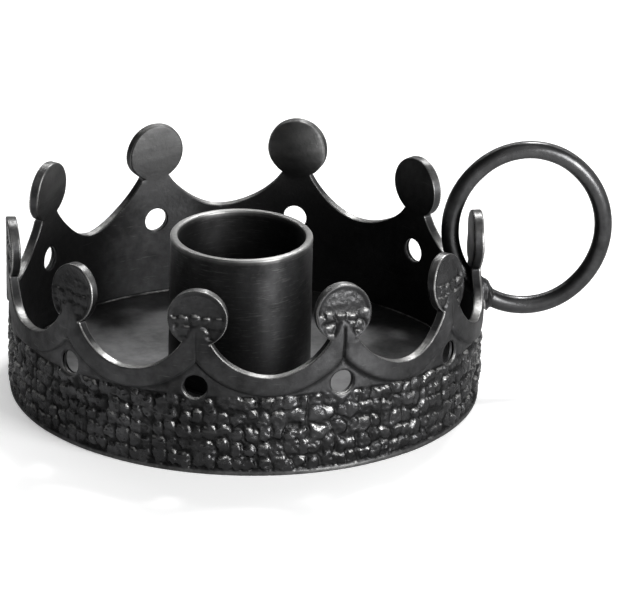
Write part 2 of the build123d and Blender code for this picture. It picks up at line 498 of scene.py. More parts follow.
def sector_mesh(hole, step, detailed):
    """Flat triangles of one point and half a gap on each side: places, triangles and the rows along edges."""
    middle_z, half_s, half_z = hole
    bottom = line((-half_pitch, 0), (half_pitch, 0), edge_step)
    right = line((half_pitch, 0), (half_pitch, scallop_floor), edge_step)
    cut = cut_line(0, edge_step)
    left = line((-half_pitch, scallop_floor), (-half_pitch, 0), edge_step)
    border = np.concatenate([bottom, right, cut, left])
    ring = oval_loop(middle_z, half_s, half_z, 0, edge_step)

    fill = []
    for offset in edge_offsets:
        beside = cut_line(offset, edge_step)
        fill.append(beside[edge_distance(beside[:, 0], beside[:, 1]) > offset * row_kept_share])
        fill.append(oval_loop(middle_z, half_s, half_z, offset, edge_step))
        fill.append(line((-half_pitch, offset), (half_pitch, offset), edge_step)[1:])

    def clear_of_hole(s, z, room):
        return np.hypot(s / (half_s + room), (z - middle_z) / (half_z + room)) > 1

    def grid(spacing):
        columns = np.arange(-half_pitch + spacing / 2, half_pitch, spacing)
        rows = np.arange(edge_offsets[-1] + mesh_step, point_height, spacing)
        s, z = (values.ravel() for values in np.meshgrid(columns, rows))
        room = edge_offsets[-1] + mesh_step / 2
        inside = (edge_distance(s, z) > room) & clear_of_hole(s, z, room)
        if detailed:
            inside &= (np.abs(hem_distance(s, z)) > groove_room) | (z > disc_height)
            inside &= (np.abs(s) > groove_room) | (z < hems_meet) | (z > neck_top)
        return s[inside], z[inside]

    s, z = grid(step)
    plain = ~needs_detail(s, z) if detailed else np.ones(len(s), bool)
    fill.append(np.stack([s[plain], z[plain]], 1))
    if detailed:
        s, z = grid(mesh_step)
        fine = needs_detail(s, z)
        fill.append(np.stack([s[fine], z[fine]], 1))
        meet_angle = atan2(hems_meet - hem_height, -half_pitch) % (2 * pi)
        for offset in groove_offsets:
            beside = arc((half_pitch, hem_height), hem_radius - offset, meet_angle, 1.5 * pi, mesh_step)
            beside = beside[(beside[:, 0] > mesh_step) & clear_of_hole(*beside.T, edge_offsets[-1])]
            fill.append(beside)
            fill.append(beside * (-1, 1))
            fill.append(line((offset, hems_meet), (offset, neck_top), mesh_step))
    fill = np.concatenate(fill)
    fill = fill[np.abs(fill[:, 0]) < half_pitch - mesh_step / 3]

    given = np.concatenate([border, ring, fill])
    ring_start = len(border)
    ring_stop = ring_start + len(ring)
    edges = [(index, (index + 1) % ring_start) for index in range(ring_start)]
    edges += [(index, index + 1) for index in range(ring_start, ring_stop - 1)]
    edges.append((ring_stop - 1, ring_start))
    inside_with_holes = 2
    places, _, triangles, origins, _, _ = delaunay_2d_cdt(
        [Vector(place) for place in given], edges, [], inside_with_holes, same_place)
    new_index = {old: new for new, olds in enumerate(origins) for old in olds}
    places = np.array([tuple(place) for place in places])
    triangles = np.array(triangles)
    middles = places[triangles].mean(1)
    from_hole = np.hypot(middles[:, 0] / half_s, (middles[:, 1] - middle_z) / half_z)
    triangles = triangles[from_hole > 1 - hole_slack_share]
    cut_start = len(bottom) + len(right)
    rows = {
        "bottom": [new_index[index] for index in range(len(bottom) + 1)],
        "cut": [new_index[cut_start + index] for index in range(len(cut) + 1)],
        "hole": [new_index[ring_start + index % len(ring)] for index in range(len(ring) + 1)],
    }
    return places, triangles, rows


def cobbles(u, v, seed, columns, rows):
    """Rough hammered squares, one in each cell of size 1: how far they stand out, and a number for each."""
    rng = np.random.default_rng(seed)
    shape = (columns, rows)
    shift_u, shift_v = rng.uniform(*stone_shift_shares, (2, *shape))
    half_u = rng.uniform(*stone_half_width_shares, shape)
    half_v = rng.uniform(*stone_half_height_shares, shape)
    lean_u = rng.uniform(*stone_lean_shares, shape)
    lean_v = rng.uniform(*stone_tilt_shares, shape)
    lift = rng.uniform(*stone_lift_shares, shape)
    luck = rng.uniform(0, 1, shape)
    column = np.floor(u).astype(int)
    row = np.floor(v).astype(int)
    best = np.zeros_like(u)
    chance = np.zeros_like(u)
    for right in (-1, 0, 1):
        for up in (-1, 0, 1):
            cell = (column + right) % columns, np.clip(row + up, 0, rows - 1)
            real = (row + up >= 0) & (row + up < rows)
            off_u = (u - column - right - 0.5 - shift_u[cell]) / half_u[cell]
            off_v = (v - row - up - 0.5 - shift_v[cell]) / half_v[cell]
            off = (np.abs(off_u)**squareness + np.abs(off_v)**squareness)**(1 / squareness)
            top = lift[cell] * (1 + lean_u[cell] * off_u + lean_v[cell] * off_v)
            bump = np.where(real, top * np.sqrt(np.clip(1 - off**flatness, 0, 1)), 0)
            chance = np.where(bump > best, luck[cell], chance)
            best = np.maximum(best, bump)
    return best, chance


def tongue_distance(s, z):
    """Distance inside the tongue that runs up a disc, less than zero outside it."""
    foot_z = disc_height - disc_radius
    tip_z = disc_height - tongue_drop
    share = (z - foot_z) / (tip_z - foot_z)
    half = (tongue_foot * (1 - share) + tongue_tip * share) / 2
    sides = np.where(z < tip_z, half - np.abs(s), -tongue_foot)
    tip = tongue_tip / 2 - middle_distance(s, z, 0, tip_z)
    return np.maximum(sides, tip)


def grooves(s, z, around, point):
    """How deep the hem's lower line and the groove up a point are at each place, as shares."""
    hem = np.where(z < disc_height, hem_distance(s, z), no_groove)
    patchy = patch_mean_share + patch_swing_share * band_noise(around, z, patch_grain, seeds["patches"])
    gap = np.where(s > 0, point, point - 1)
    groove = np.exp(-((hem + groove_shift) / groove_width)**2) * patchy * np.array(groove_shares)[gap]
    neck_s = s - neck_wander * band_noise(around, z, neck_wander_grain, seeds["neck"])
    neck = np.exp(-(neck_s / neck_groove_width)**2) * patchy
    neck *= ramp(z, hems_meet - neck_fade_low, hems_meet) * ramp(z, neck_top + neck_fade_high, neck_top)
    return groove, neck * neck_shares[point]


def field_stones(z, around):
    """Cobbles of the field: how far they stand out, and a number for each."""
    along = around + warp_along * band_noise(around, z, warp_along_grain, seeds["warp along"])
    up = z + warp_up * band_noise(around, z, warp_up_grain, seeds["warp up"])
    row_height = (field_top - field_bottom) / cobble_rows
    return cobbles(along / circumference * cobble_columns, (up - field_bottom) / row_height,
                   seeds["field"], cobble_columns, cobble_rows)


def disc_stones(s, z, around, point):
    """Cobbles of a disc, in rows below the smooth part of its face."""
    sway_along = disc_warp_along_share * band_noise(around, z, disc_warp_grain, seeds["disc along"])
    sway_up = disc_warp_up_share * band_noise(around, z, disc_warp_grain, seeds["disc up"])
    return cobbles((s + disc_radius) / disc_cobble_width + sway_along,
                   (z - disc_row_top) / disc_cobble_height + disc_rows + sway_up,
                   seeds["discs"] + point, ceil(2 * disc_radius / disc_cobble_width), disc_rows)


def outer_relief(s, z, around, point, hole):
    """How far the outer surface stands out from the plain band, with its rubbed places, painted highlights,
    glints and shade, and its cast places.
    """
    disc = middle_distance(s, z, 0, disc_height)
    sunk = np.minimum(disc_radius - disc_rim - disc, -tongue_distance(s, z))
    ground_share = ramp(hem_distance(s, z), step_width / 2, -step_width / 2)
    ground_share *= ramp(z, disc_height, disc_height - hair)
    sunk_share = ramp(sunk, -step_width / 2, sunk_slope)
    relief = hem_relief * (1 - np.maximum(ground_share, sunk_share))
    groove, neck = grooves(s, z, around, point)
    relief -= groove_depth * groove + neck_groove_depth * neck

    stone, luck = field_stones(z, around)
    beside_hole = hole_distance(s, z, hole)
    field_share = ramp(z - field_bottom, *field_fade_low) * ramp(z - field_top, *field_fade_high)
    field_share *= ramp(beside_hole, *field_fade_hole)
    relief += field_share * (cobble_relief * stone - cobble_sink)

    stone, disc_luck = disc_stones(s, z, around, point)
    above_rows = z - disc_row_top
    low_share = ramp(above_rows, *disc_fade)
    disc_ground = disc_ground_share - disc_smooth_share * ramp(above_rows, 0, disc_smooth_height)
    disc_relief = disc_cobble_relief * disc_relief_shares[point]
    relief += sunk_share * disc_relief * (stone * low_share - disc_ground)
    cast = np.maximum(field_share, sunk_share)
    lumps = lump_relief * (1 - 2 * np.abs(band_noise(around, z, lump_grain, seeds["lumps"])))
    lumps += fine_relief * band_noise(around, z, fine_grain, seeds["fine"])
    relief += lumps * np.maximum(field_share, sunk_share * disc_lump_share)
    pit = relief
    relief = relief + uneven_relief * band_noise(around, z, uneven_grain, seeds["uneven"])
    edge = edge_distance(s, z)
    relief -= corner_drop(edge, cut_round) + corner_drop(z, foot_round) + corner_drop(beside_hole, hole_round)

    # painted highlights on the holes' lower lips and along the foot, besides the rubbed cut edges
    lower_lip = ramp(hole[0] - z, lip_start, hole_radius)
    rub_and_highlight = np.maximum(edge_rub * ramp(edge, *edge_rub_reach),
                     hole_lip_highlight * ramp(beside_hole, *hole_lip_highlight_reach) * lower_lip)
    rub_and_highlight = np.maximum(rub_and_highlight, foot_sheen * ramp(z, field_bottom, field_bottom - foot_sheen_height))
    # painted shadow in the grooves, painted shade in the pits and on the sunk disc faces
    soot_and_shade = np.maximum(np.maximum(groove, neck), cast * ramp(pit, 0, pit_shade_depth))
    soot_and_shade = np.maximum(soot_and_shade, disc_shade * sunk_share)
    # painted glints on the cobbles
    painted_glint = cast * ramp(np.where(field_share > sunk_share, luck, disc_luck * low_share), 0, glint_luck)
    return relief, rub_and_highlight, soot_and_shade, cast, painted_glint


def facing_up(points, triangles):
    """How much each point of a surface faces up, from -1 to 1."""
    corners = points[triangles]
    normals = np.cross(corners[:, 1] - corners[:, 0], corners[:, 2] - corners[:, 0])
    sums = np.zeros_like(points)
    for corner in range(3):
        np.add.at(sums, triangles[:, corner], normals)
    return sums[:, 2] / np.linalg.norm(sums, axis=1)


def wrap_round(s, z, depth, point):
    """Places on the band: s along it from a point's middle, height z, and depth out from its plain face."""
    angle = s / crown_radius + point * pitch
    lift = -edge_dip * np.cos(2 * angle) * ramp(z, dip_start, dip_end)
    if point == 0:
        lift = lift - handle_drop * ramp(z, scallop_floor, cusp[1])
    gap = np.where(s > 0, point, point - 1)
    beside_point = ramp(np.abs(s), point_foot_share * half_pitch, half_pitch)
    lift = lift + np.array(scallop_lifts)[gap] * beside_point * ramp(z, dip_start, scallop_floor)
    near_hole = ramp(z, field_bottom, hole_height) * ramp(z, disc_height, hole_height) * (1 - beside_point)
    lift = lift + hole_lifts[point] * near_hole - point_drops[point] * ramp(z, scallop_floor, cusp[1])
    bend = np.clip((z - scallop_floor) / (disc_height - scallop_floor), 0, None)**bend_power
    slide = hole_slides[point] * ramp(z, field_bottom, hole_height) * ramp(z, disc_height, hole_height)
    slide = slide + point_slides[point] * ramp(z, hole_height, disc_height)
    angle = angle + slide * (1 - beside_point) / crown_radius
    bow = point_bows[point] * ramp(z, hole_height, cusp[1]) * ramp(z, disc_height, cusp[1])
    reach = crown_radius + z * flare_slope + depth + point_leans[point] * bend + bow
    return np.stack([reach * np.cos(angle), reach * np.sin(angle), z + lift], 1)


def strip_faces(row, next_row):
    """Four-cornered faces between two rows of points."""
    return [(row[index + 1], row[index], next_row[index], next_row[index + 1])
            for index in range(len(row) - 1)]


def up_facing_cut_highlights(s, z):
    """How much painted highlight the cut face gets where it faces up, at places along the cut edge."""
    on_disc = middle_distance(s, z, 0, disc_height) < disc_radius + hair
    up = np.where(on_disc, (z - disc_height) / disc_radius, (scallop_height - z) / scallop_radius)
    return np.where(on_disc, disc_cut_highlight * ramp(up, *disc_cut_facing), ramp(up, *scallop_cut_facing))


def crown_sector(point, outer_flat, inner_flat, outer_hole, inner_hole):
    """Points, faces and marks of one point of the crown, with its outer and inner faces and its cut faces."""
    outer_places, outer_triangles, outer_rows = outer_flat
    inner_places, inner_triangles, inner_rows = inner_flat
    s, z = outer_places.T
    around = (s + point * 2 * half_pitch) % circumference
    depth, rub_and_highlight, soot_and_shade, cast, painted_glint = outer_relief(s, z, around, point, outer_hole)
    outside = wrap_round(s, z, depth, point)
    # painted glints: bare metal on the cobble flanks that face up
    rub_and_highlight = np.maximum(rub_and_highlight, glint_paint * painted_glint * ramp(facing_up(outside, outer_triangles), *glint_facing))

    s, z = inner_places.T
    around = (s + point * 2 * half_pitch) % circumference
    edge = edge_distance(s, z)
    dome = inner_domes[point] * np.clip(1 - (middle_distance(s, z, 0, disc_height) / disc_radius)**2, 0, 1)
    inner_depth = inner_uneven_relief * band_noise(around, z, inner_uneven_grain, seeds["inner"])
    inner_depth -= band_wall + dome
    for distance in (edge, hole_distance(s, z, inner_hole), z):
        inner_depth += corner_drop(distance, inner_round)
    inside = wrap_round(s, z, inner_depth, point)
    inner_rubs = inner_rub * ramp(edge, *inner_rub_reach)
    streaks = streak_swing_share * noise(around / streak_length, z / streak_height, seeds["streaks"])
    # pale brushed tone, partly painted light, growing towards the disc
    brush_and_light = brushed_and_lit_shares[point] * ramp(z, scallop_floor, disc_height) * (streak_mean_share + streaks)

    shift = len(outside)
    faces = [tuple(face) for face in outer_triangles]
    faces += [tuple(face[::-1] + shift) for face in inner_triangles]
    for name in ("bottom", "hole"):
        faces += strip_faces(outer_rows[name], [index + shift for index in inner_rows[name]])
    cut_outer = outer_rows["cut"]
    cut_inner = inner_rows["cut"]
    row_before = cut_outer
    points = [outside, inside]
    for share in cut_rows_shares:
        start = sum(len(group) for group in points)
        points.append(outside[cut_outer] * (1 - share) + inside[cut_inner] * share)
        row = list(range(start, start + len(cut_outer)))
        faces += strip_faces(row_before, row)
        row_before = row
    faces += strip_faces(row_before, [index + shift for index in cut_inner])

    # painted highlight on the cut faces that face up
    up_highlight = up_facing_cut_highlights(*outer_places[cut_outer].T)
    cut_highlights = np.tile(up_highlight, len(cut_rows_shares))
    none_outside = np.zeros(len(outside))
    none_inside = np.zeros(len(inside))
    none_cut = np.zeros(len(cut_highlights))
    marks = {
        "rub_and_highlight": np.concatenate([rub_and_highlight, inner_rubs, none_cut]),
        "soot_and_shade": np.concatenate([soot_and_shade, none_inside, none_cut]),
        "cast": np.concatenate([cast, none_inside, none_cut]),
        "brush_and_light": np.concatenate([none_outside, brush_and_light, none_cut]),
        "cut": np.concatenate([none_outside, none_inside, cut_highlights]),
    }
    points = np.concatenate(points)
    return points, faces, marks


def ring_oval():
    """The ring's four arcs: middle, radius, start and stop angle, in its own upright plane."""
    tallness = ring_half_height - ring_half_width
    apart = tallness / (oval_rise_share + oval_run_share - 1)
    rise, run = oval_rise_share * apart, oval_run_share * apart
    turn = atan2(oval_rise_share, oval_run_share)
    end_radius = ring_half_height - rise
    side_radius = ring_half_width + run
    return [
        ((-run, 0), side_radius, -turn, turn),
        ((0, rise), end_radius, turn, pi - turn),
        ((run, 0), side_radius, pi - turn, pi + turn),
        ((0, -rise), end_radius, pi + turn, 2 * pi - turn),
    ]


def bar_height(reach):
    """Height of the bar's middle on the lower left of the ring, at a distance from the crown's axis."""
    path = np.concatenate([arc(*piece, height_step) for piece in ring_oval()]) + (ring_x, ring_z)
    low_left = path[(path[:, 1] < ring_z) & (path[:, 0] < ring_x)]
    order = np.argsort(low_left[:, 0])
    return np.interp(reach, low_left[order, 0], low_left[order, 1])


def crown_band(material):
    """The whole band. The point at the handle has the ring's passage in place of a hole."""
    passage_outer_z = bar_height(crown_radius + hem_relief)
    passage_inner_z = bar_height(crown_radius - band_wall)
    steepness = (passage_inner_z - passage_outer_z) / (band_wall + hem_relief)
    half_s = bar_radius + passage_gap
    half_z = half_s * sqrt(1 + steepness**2)
    plain = (hole_height, hole_radius, hole_radius)
    passage = [(height + edge_dip, half_s, half_z) for height in (passage_outer_z, passage_inner_z)]
    kinds = {False: (plain, plain), True: passage}
    flats = {kind: (sector_mesh(holes[0], plain_step, True), sector_mesh(holes[1], inner_step, False))
             for kind, holes in kinds.items()}
    points, faces, marks = [], [], {}
    for point in range(point_count):
        at_handle = point == 0
        made, sector_faces, sector_marks = crown_sector(point, *flats[at_handle], *kinds[at_handle])
        shift = sum(len(group) for group in points)
        points.append(made)
        faces += [tuple(corner + shift for corner in face) for face in sector_faces]
        for mark, values in sector_marks.items():
            marks.setdefault(mark, []).append(values)
    marks = {mark: np.concatenate(values) for mark, values in marks.items()}
    points = np.concatenate(points)
    return make_piece("crown-band", "crown_band", points, faces, marks, material)


# Turned pieces


def turned(name, node, profile, rubs_and_highlights, shades_and_soots, middle_x, waviness, seed, segments, material,
           closed=True, patches=0):
    """Turns a profile of (radius, height) round an upright axis. The bare and the dark shares, which carry
    painted highlights and painted shade, are marks of its points.

    Patches is how often the rubbed places come and go along the way round."""
    profile = np.array(profile)
    angles = np.linspace(0, 2 * pi, segments, endpoint=False)
    rows = len(profile)
    radius = np.repeat(profile[:, 0], segments)
    height = np.repeat(profile[:, 1], segments)
    angle = np.tile(angles, rows)
    turns = angle / (2 * pi)
    sway = noise(turns * sway_cells, height / sway_height, seed, sway_cells)
    radius = radius + waviness * sway * (radius > 0)
    points = np.stack([middle_x + radius * np.cos(angle), radius * np.sin(angle), height], 1)
    rub_and_highlight = np.repeat(rubs_and_highlights, segments)
    if patches:
        patchy = noise(turns * patches, np.zeros(len(points)), seed + 1, patches)
        rub_and_highlight = rub_and_highlight * ramp(patchy, *patch_edges)
    marks = {"rub_and_highlight": rub_and_highlight, "soot_and_shade": np.repeat(shades_and_soots, segments)}
    return make_piece(name, node, points, grid_faces(rows, segments, closed), marks, material)


def rounded(corner, radius, start, steps=6):
    """Quarter round of a profile, with its middle at corner and from the start angle on."""
    angles = radians(start) + np.linspace(0, pi / 2, steps)
    return [(corner[0] + radius * cos(angle), corner[1] + radius * sin(angle)) for angle in angles]


def column(radius, bottom, top, step=1.0):
    """Straight upright stretch of a profile, without its ends."""
    count = ceil(abs(top - bottom) / step)
    return [(radius, height) for height in np.linspace(bottom, top, count + 1)[1:-1]]


def candle_cup(material):
    """Tube with a rounded rim, rubbed and with a painted highlight, and painted shade in its bore."""
    bore = cup_radius - cup_wall
    outer_round = rounded((cup_radius - cup_rim_round, cup_top - cup_rim_round), cup_rim_round, 0)
    inner_rim = rounded((bore + cup_rim_round, cup_top - cup_rim_round), cup_rim_round, 90)
    foot = cup_low[2]
    outside = column(cup_radius, foot, cup_top - cup_rim_round)
    inside = column(bore, cup_top - cup_rim_round, foot)
    profile = [(cup_radius, foot), *outside, *outer_round, *inner_rim, *inside, (bore, foot)]
    outer_count = 1 + len(outside)
    inner_count = 1 + len(inside)
    between = len(outer_round) + len(inner_rim) - 2
    # rubbed rim with a painted highlight, painted shade in the bore
    rim_rubs_and_highlights = [cup_rim_end_rub_and_highlight] + [cup_rim_rub_and_highlight] * between + [cup_rim_end_rub_and_highlight]
    rubs_and_highlights = [0.0] * outer_count + rim_rubs_and_highlights + [0.0] * inner_count
    shades_and_soots = [0.0] * (outer_count + len(rim_rubs_and_highlights)) + [bore_shade] * inner_count
    return turned("candle-cup", "candle_cup", profile, rubs_and_highlights, shades_and_soots, cup_x, cup_waviness,
                  seeds["cup"], cup_segments, material)


def base_plate(material):
    """Flat round floor plate with a soft edge."""
    flat_radius = plate_radius - plate_round
    inner = [(radius, plate_top) for radius in np.linspace(0, flat_radius, plate_rings)]
    upper = rounded((flat_radius, plate_top - plate_round), plate_round, 0)[::-1]
    lower = rounded((flat_radius, plate_round), plate_round, -90)[::-1]
    under = [(radius, 0.0) for radius in np.linspace(flat_radius, 0, plate_rings)]
    profile = [*inner[:-1], *upper, *lower, *under[1:]]
    plain = [0.0] * len(profile)
    return turned("base-plate", "base_plate", profile, plain, plain, 0.0, 0.0,
                  seeds["plate"], plate_segments, material, closed=False)


def braze(name, node, wall_radius, side, middle_x, brightness, material):
    """Thin uneven line of filler in the corner between the plate and a wall."""
    low, high = node_box(node)
    leg = leg_share * (high[2] - low[2])
    foot = low[2]
    toe = wall_radius + side * leg
    profile = [
        (wall_radius, foot),
        (toe, foot),
        (toe - toe_in_share * side * leg, foot + toe_up_share * leg),
        (wall_radius + heel_out_share * side * leg, foot + heel_up_share * leg),
        (wall_radius, foot + leg),
    ]
    rubs_and_highlights = [0.0, toe_rub_share * brightness, brightness, brightness, 0.0]
    shades_and_soots = [1 - 2 * brightness] * len(profile)
    return turned(name, node, profile[::side], rubs_and_highlights[::side], shades_and_soots, middle_x, filler_waviness,
                  seeds["filler"], filler_segments, material, patches=filler_patches)


def ring_handle(material):
    """Round bar bent to the ring's oval, with a slightly uneven surface and a painted highlight along its
    outer side.
    """
    path = np.concatenate([arc(*piece, bar_step) for piece in ring_oval()])
    ahead = np.roll(path, -1, 0) - np.roll(path, 1, 0)
    ahead /= np.linalg.norm(ahead, axis=1)[:, None]
    outwards = np.stack([ahead[:, 1], -ahead[:, 0]], 1)
    along = np.repeat(np.arange(len(path)), bar_sides)
    turn = np.tile(np.linspace(0, 2 * pi, bar_sides, endpoint=False), len(path))
    dent = noise(along / dent_length, turn / (2 * pi) * dents_round, seeds["bar"]) * bar_dent
    thickness = bar_radius - bar_dent + dent * np.abs(np.sin(turn / 2))
    flat = path[along] + outwards[along] * (thickness * np.cos(turn))[:, None]
    points = np.stack([ring_x + flat[:, 0], thickness * np.sin(turn), ring_z + flat[:, 1]], 1)
    # painted highlight along the outer side of the bar
    marks = {"rub_and_highlight": bar_highlight * ramp(np.cos(turn), *bar_highlight_facing)}
    faces = grid_faces(len(path), bar_sides, close_rows=True)
    return make_piece("ring-handle", "ring_handle", points, faces, marks, material)


def handle_weld(material):
    """Rough cone of weld from the band down to the bar, laid on in beads, with bare crests partly painted as
    glints and painted shade in the hollows.
    """
    start = crown_radius - weld_root
    stop = weld_high[0] - weld_clear
    wall_z = (weld_high[2] + weld_low[2]) / 2 + weld_lift
    half_y = (weld_high[1] - weld_low[1]) / 2
    half_z = (weld_high[2] - weld_low[2]) / 2
    share = np.repeat(np.linspace(0, 1, weld_rows), weld_sides)
    turn = np.tile(np.linspace(0, 2 * pi, weld_sides, endpoint=False), weld_rows)
    reach = start + (stop - start) * share
    middle = wall_z + (bar_height(reach) - wall_z) * share
    end = bar_radius * weld_end_share
    shrink = 1 - weld_taper_share * share - weld_tip_share * ramp(share, weld_tip_start_share, 1)
    turns = turn / (2 * pi)
    beads = bead_share * noise(turns * beads_round, share * beads_along, seeds["beads"], beads_round)
    spatter = noise(turns * spatter_round, share * spatter_along, seeds["spatter"], spatter_round)
    beads += spatter_share * spatter
    on_band = ramp(share, 1, bead_fade_share)
    lump = weld_mean_share + beads * on_band
    y = (end + (half_y - end) * shrink) * lump * np.sin(turn)
    z = middle + (end + (half_z - end) * shrink) * lump * np.cos(turn)
    faces = grid_faces(weld_rows, weld_sides)
    faces.append(tuple(range(weld_sides))[::-1])
    last = (weld_rows - 1) * weld_sides
    faces.append(tuple(last + index for index in range(weld_sides)))
    # bare crests, partly painted glints, and painted shade in the hollows between beads
    marks = {"rub_and_highlight": weld_rub_and_glint * ramp(beads, *weld_rub_and_glint_beads), "soot_and_shade": ramp(beads, *weld_shade_beads),
             "cast": on_band}
    points = np.stack([reach, y, z], 1)
    return make_piece("handle-weld", "handle_weld", points, faces, marks, material)


# Shading

mottle_scale = 90.0
# share of bare metal painted as a highlight on cut faces that face up
cut_face_highlight = 0.62
dark_tone_share = 0.55    # of a colour, in its darkest and lightest patches
light_tone_share = 1.45
brush_line_light = 0.35
soot_and_shade_cover = 0.8
tone_roughness = 0.07
soot_and_shade_roughness = 0.25
quarter_turn = 0.25


def add_node(tree, kind, inputs=None, **settings):
    """Node with its settings and with values or links on its inputs."""
    node = tree.nodes.new(kind)
    for name, value in settings.items():
        setattr(node, name, value)
    for name, value in (inputs or {}).items():
        if isinstance(value, bpy.types.NodeSocket):
            tree.links.new(value, node.inputs[name])
        else:
            node.inputs[name].default_value = value
    return node


def group_of(name, inputs, outputs):
    """Empty shader node group, with its input and output nodes."""
    tree = bpy.data.node_groups.new(name, "ShaderNodeTree")
    for socket, kind, value in inputs:
        made = tree.interface.new_socket(socket, in_out="INPUT", socket_type=kind)
        if value is not None:
            made.default_value = value
    for socket, kind in outputs:
        tree.interface.new_socket(socket, in_out="OUTPUT", socket_type=kind)
    return tree, tree.nodes.new("NodeGroupInput").outputs, tree.nodes.new("NodeGroupOutput").inputs


def worked_out(tree, operation, first, second=0.0):
    """Sum, product or the like of two values."""
    return add_node(tree, "ShaderNodeMath", {0: first, 1: second}, operation=operation).outputs[0]


def mapped(tree, value, low, high, to_low=0.0, to_high=1.0):
    """Value carried over from one range to another, and held within it."""
    inputs = {"Value": value, "From Min": low, "From Max": high, "To Min": to_low, "To Max": to_high}
    return add_node(tree, "ShaderNodeMapRange", inputs).outputs["Result"]


def noise_node(tree, place, scale, detail, rough=0.5):
    """Cloudy pattern from 0 to 1."""
    inputs = {"Vector": place, "Scale": scale, "Detail": detail, "Roughness": rough}
    return add_node(tree, "ShaderNodeTexNoise", inputs).outputs["Fac"]


def mottle_group():
    """Uneven tone of blackened iron: broad cloudy patches with finer ones in them."""
    finer_scale = 6.0
    broad_share = 0.65
    finer_share = 0.35
    tree, given, result = group_of(
        "Mottle", [("Place", "NodeSocketVector", None), ("Scale", "NodeSocketFloat", mottle_scale)],
        [("Tone", "NodeSocketFloat")])
    broad = noise_node(tree, given["Place"], given["Scale"], detail=4.0)
    small = worked_out(tree, "MULTIPLY", given["Scale"], finer_scale)
    finer = noise_node(tree, given["Place"], small, detail=5.0, rough=0.6)
    both = worked_out(tree, "ADD", worked_out(tree, "MULTIPLY", broad, broad_share),
                      worked_out(tree, "MULTIPLY", finer, finer_share))
    tree.links.new(mapped(tree, both, low=0.36, high=0.64), result["Tone"])
    return tree


def scratch_group():
    """Fine lines along the direction in which the place is least stretched."""
    line_top = 0.82
    line_edge = 0.78
    edge_fall = 0.4
    tree, given, result = group_of(
        "Fine scratches",
        [("Place", "NodeSocketVector", None), ("Stretch", "NodeSocketVector", (1.0, 1.0, 1.0)),
         ("Share", "NodeSocketFloat", 0.3)],
        [("Lines", "NodeSocketFloat")])
    stretched = add_node(tree, "ShaderNodeVectorMath", {0: given["Place"], 1: given["Stretch"]},
                         operation="MULTIPLY").outputs[0]
    lines = noise_node(tree, stretched, scale=1.0, detail=3.0, rough=0.65)
    edge = worked_out(tree, "SUBTRACT", line_edge, worked_out(tree, "MULTIPLY", given["Share"], edge_fall))
    tree.links.new(mapped(tree, lines, low=edge, high=line_top), result["Lines"])
    return tree


def rub_group():
    """Breaks the rubbed places and painted highlights up, so that bare metal shows raggedly on the edges."""
    full_swing = 2.4
    noise_middle = 0.5
    tree, given, result = group_of(
        "Rubbed places",
        [("Place", "NodeSocketVector", None), ("Mask", "NodeSocketFloat", 0.0),
         ("Ragged", "NodeSocketFloat", 0.5)],
        [("Bare", "NodeSocketFloat")])
    grain = noise_node(tree, given["Place"], scale=900.0, detail=4.0, rough=0.6)
    swing = worked_out(tree, "MULTIPLY", worked_out(tree, "SUBTRACT", grain, noise_middle),
                       worked_out(tree, "MULTIPLY", given["Ragged"], full_swing))
    moved = worked_out(tree, "ADD", given["Mask"], worked_out(tree, "MULTIPLY", swing, given["Mask"]))
    tree.links.new(mapped(tree, moved, low=0.12, high=0.85), result["Bare"])
    return tree


def grain_group():
    """Surface direction of a slightly rough, pitted skin."""
    pit_depth = 0.0002
    tree, given, result = group_of(
        "Grain", [("Place", "NodeSocketVector", None), ("Scale", "NodeSocketFloat", 1500.0),
                  ("Strength", "NodeSocketFloat", 0.2)],
        [("Normal", "NodeSocketVector")])
    height = noise_node(tree, given["Place"], given["Scale"], detail=5.0, rough=0.6)
    bump = add_node(tree, "ShaderNodeBump",
                    {"Height": height, "Strength": given["Strength"], "Distance": pit_depth})
    tree.links.new(bump.outputs["Normal"], result["Normal"])
    return tree


groups = {"mottle": mottle_group(), "scratch": scratch_group(), "rub_and_highlight": rub_group(), "grain": grain_group()}


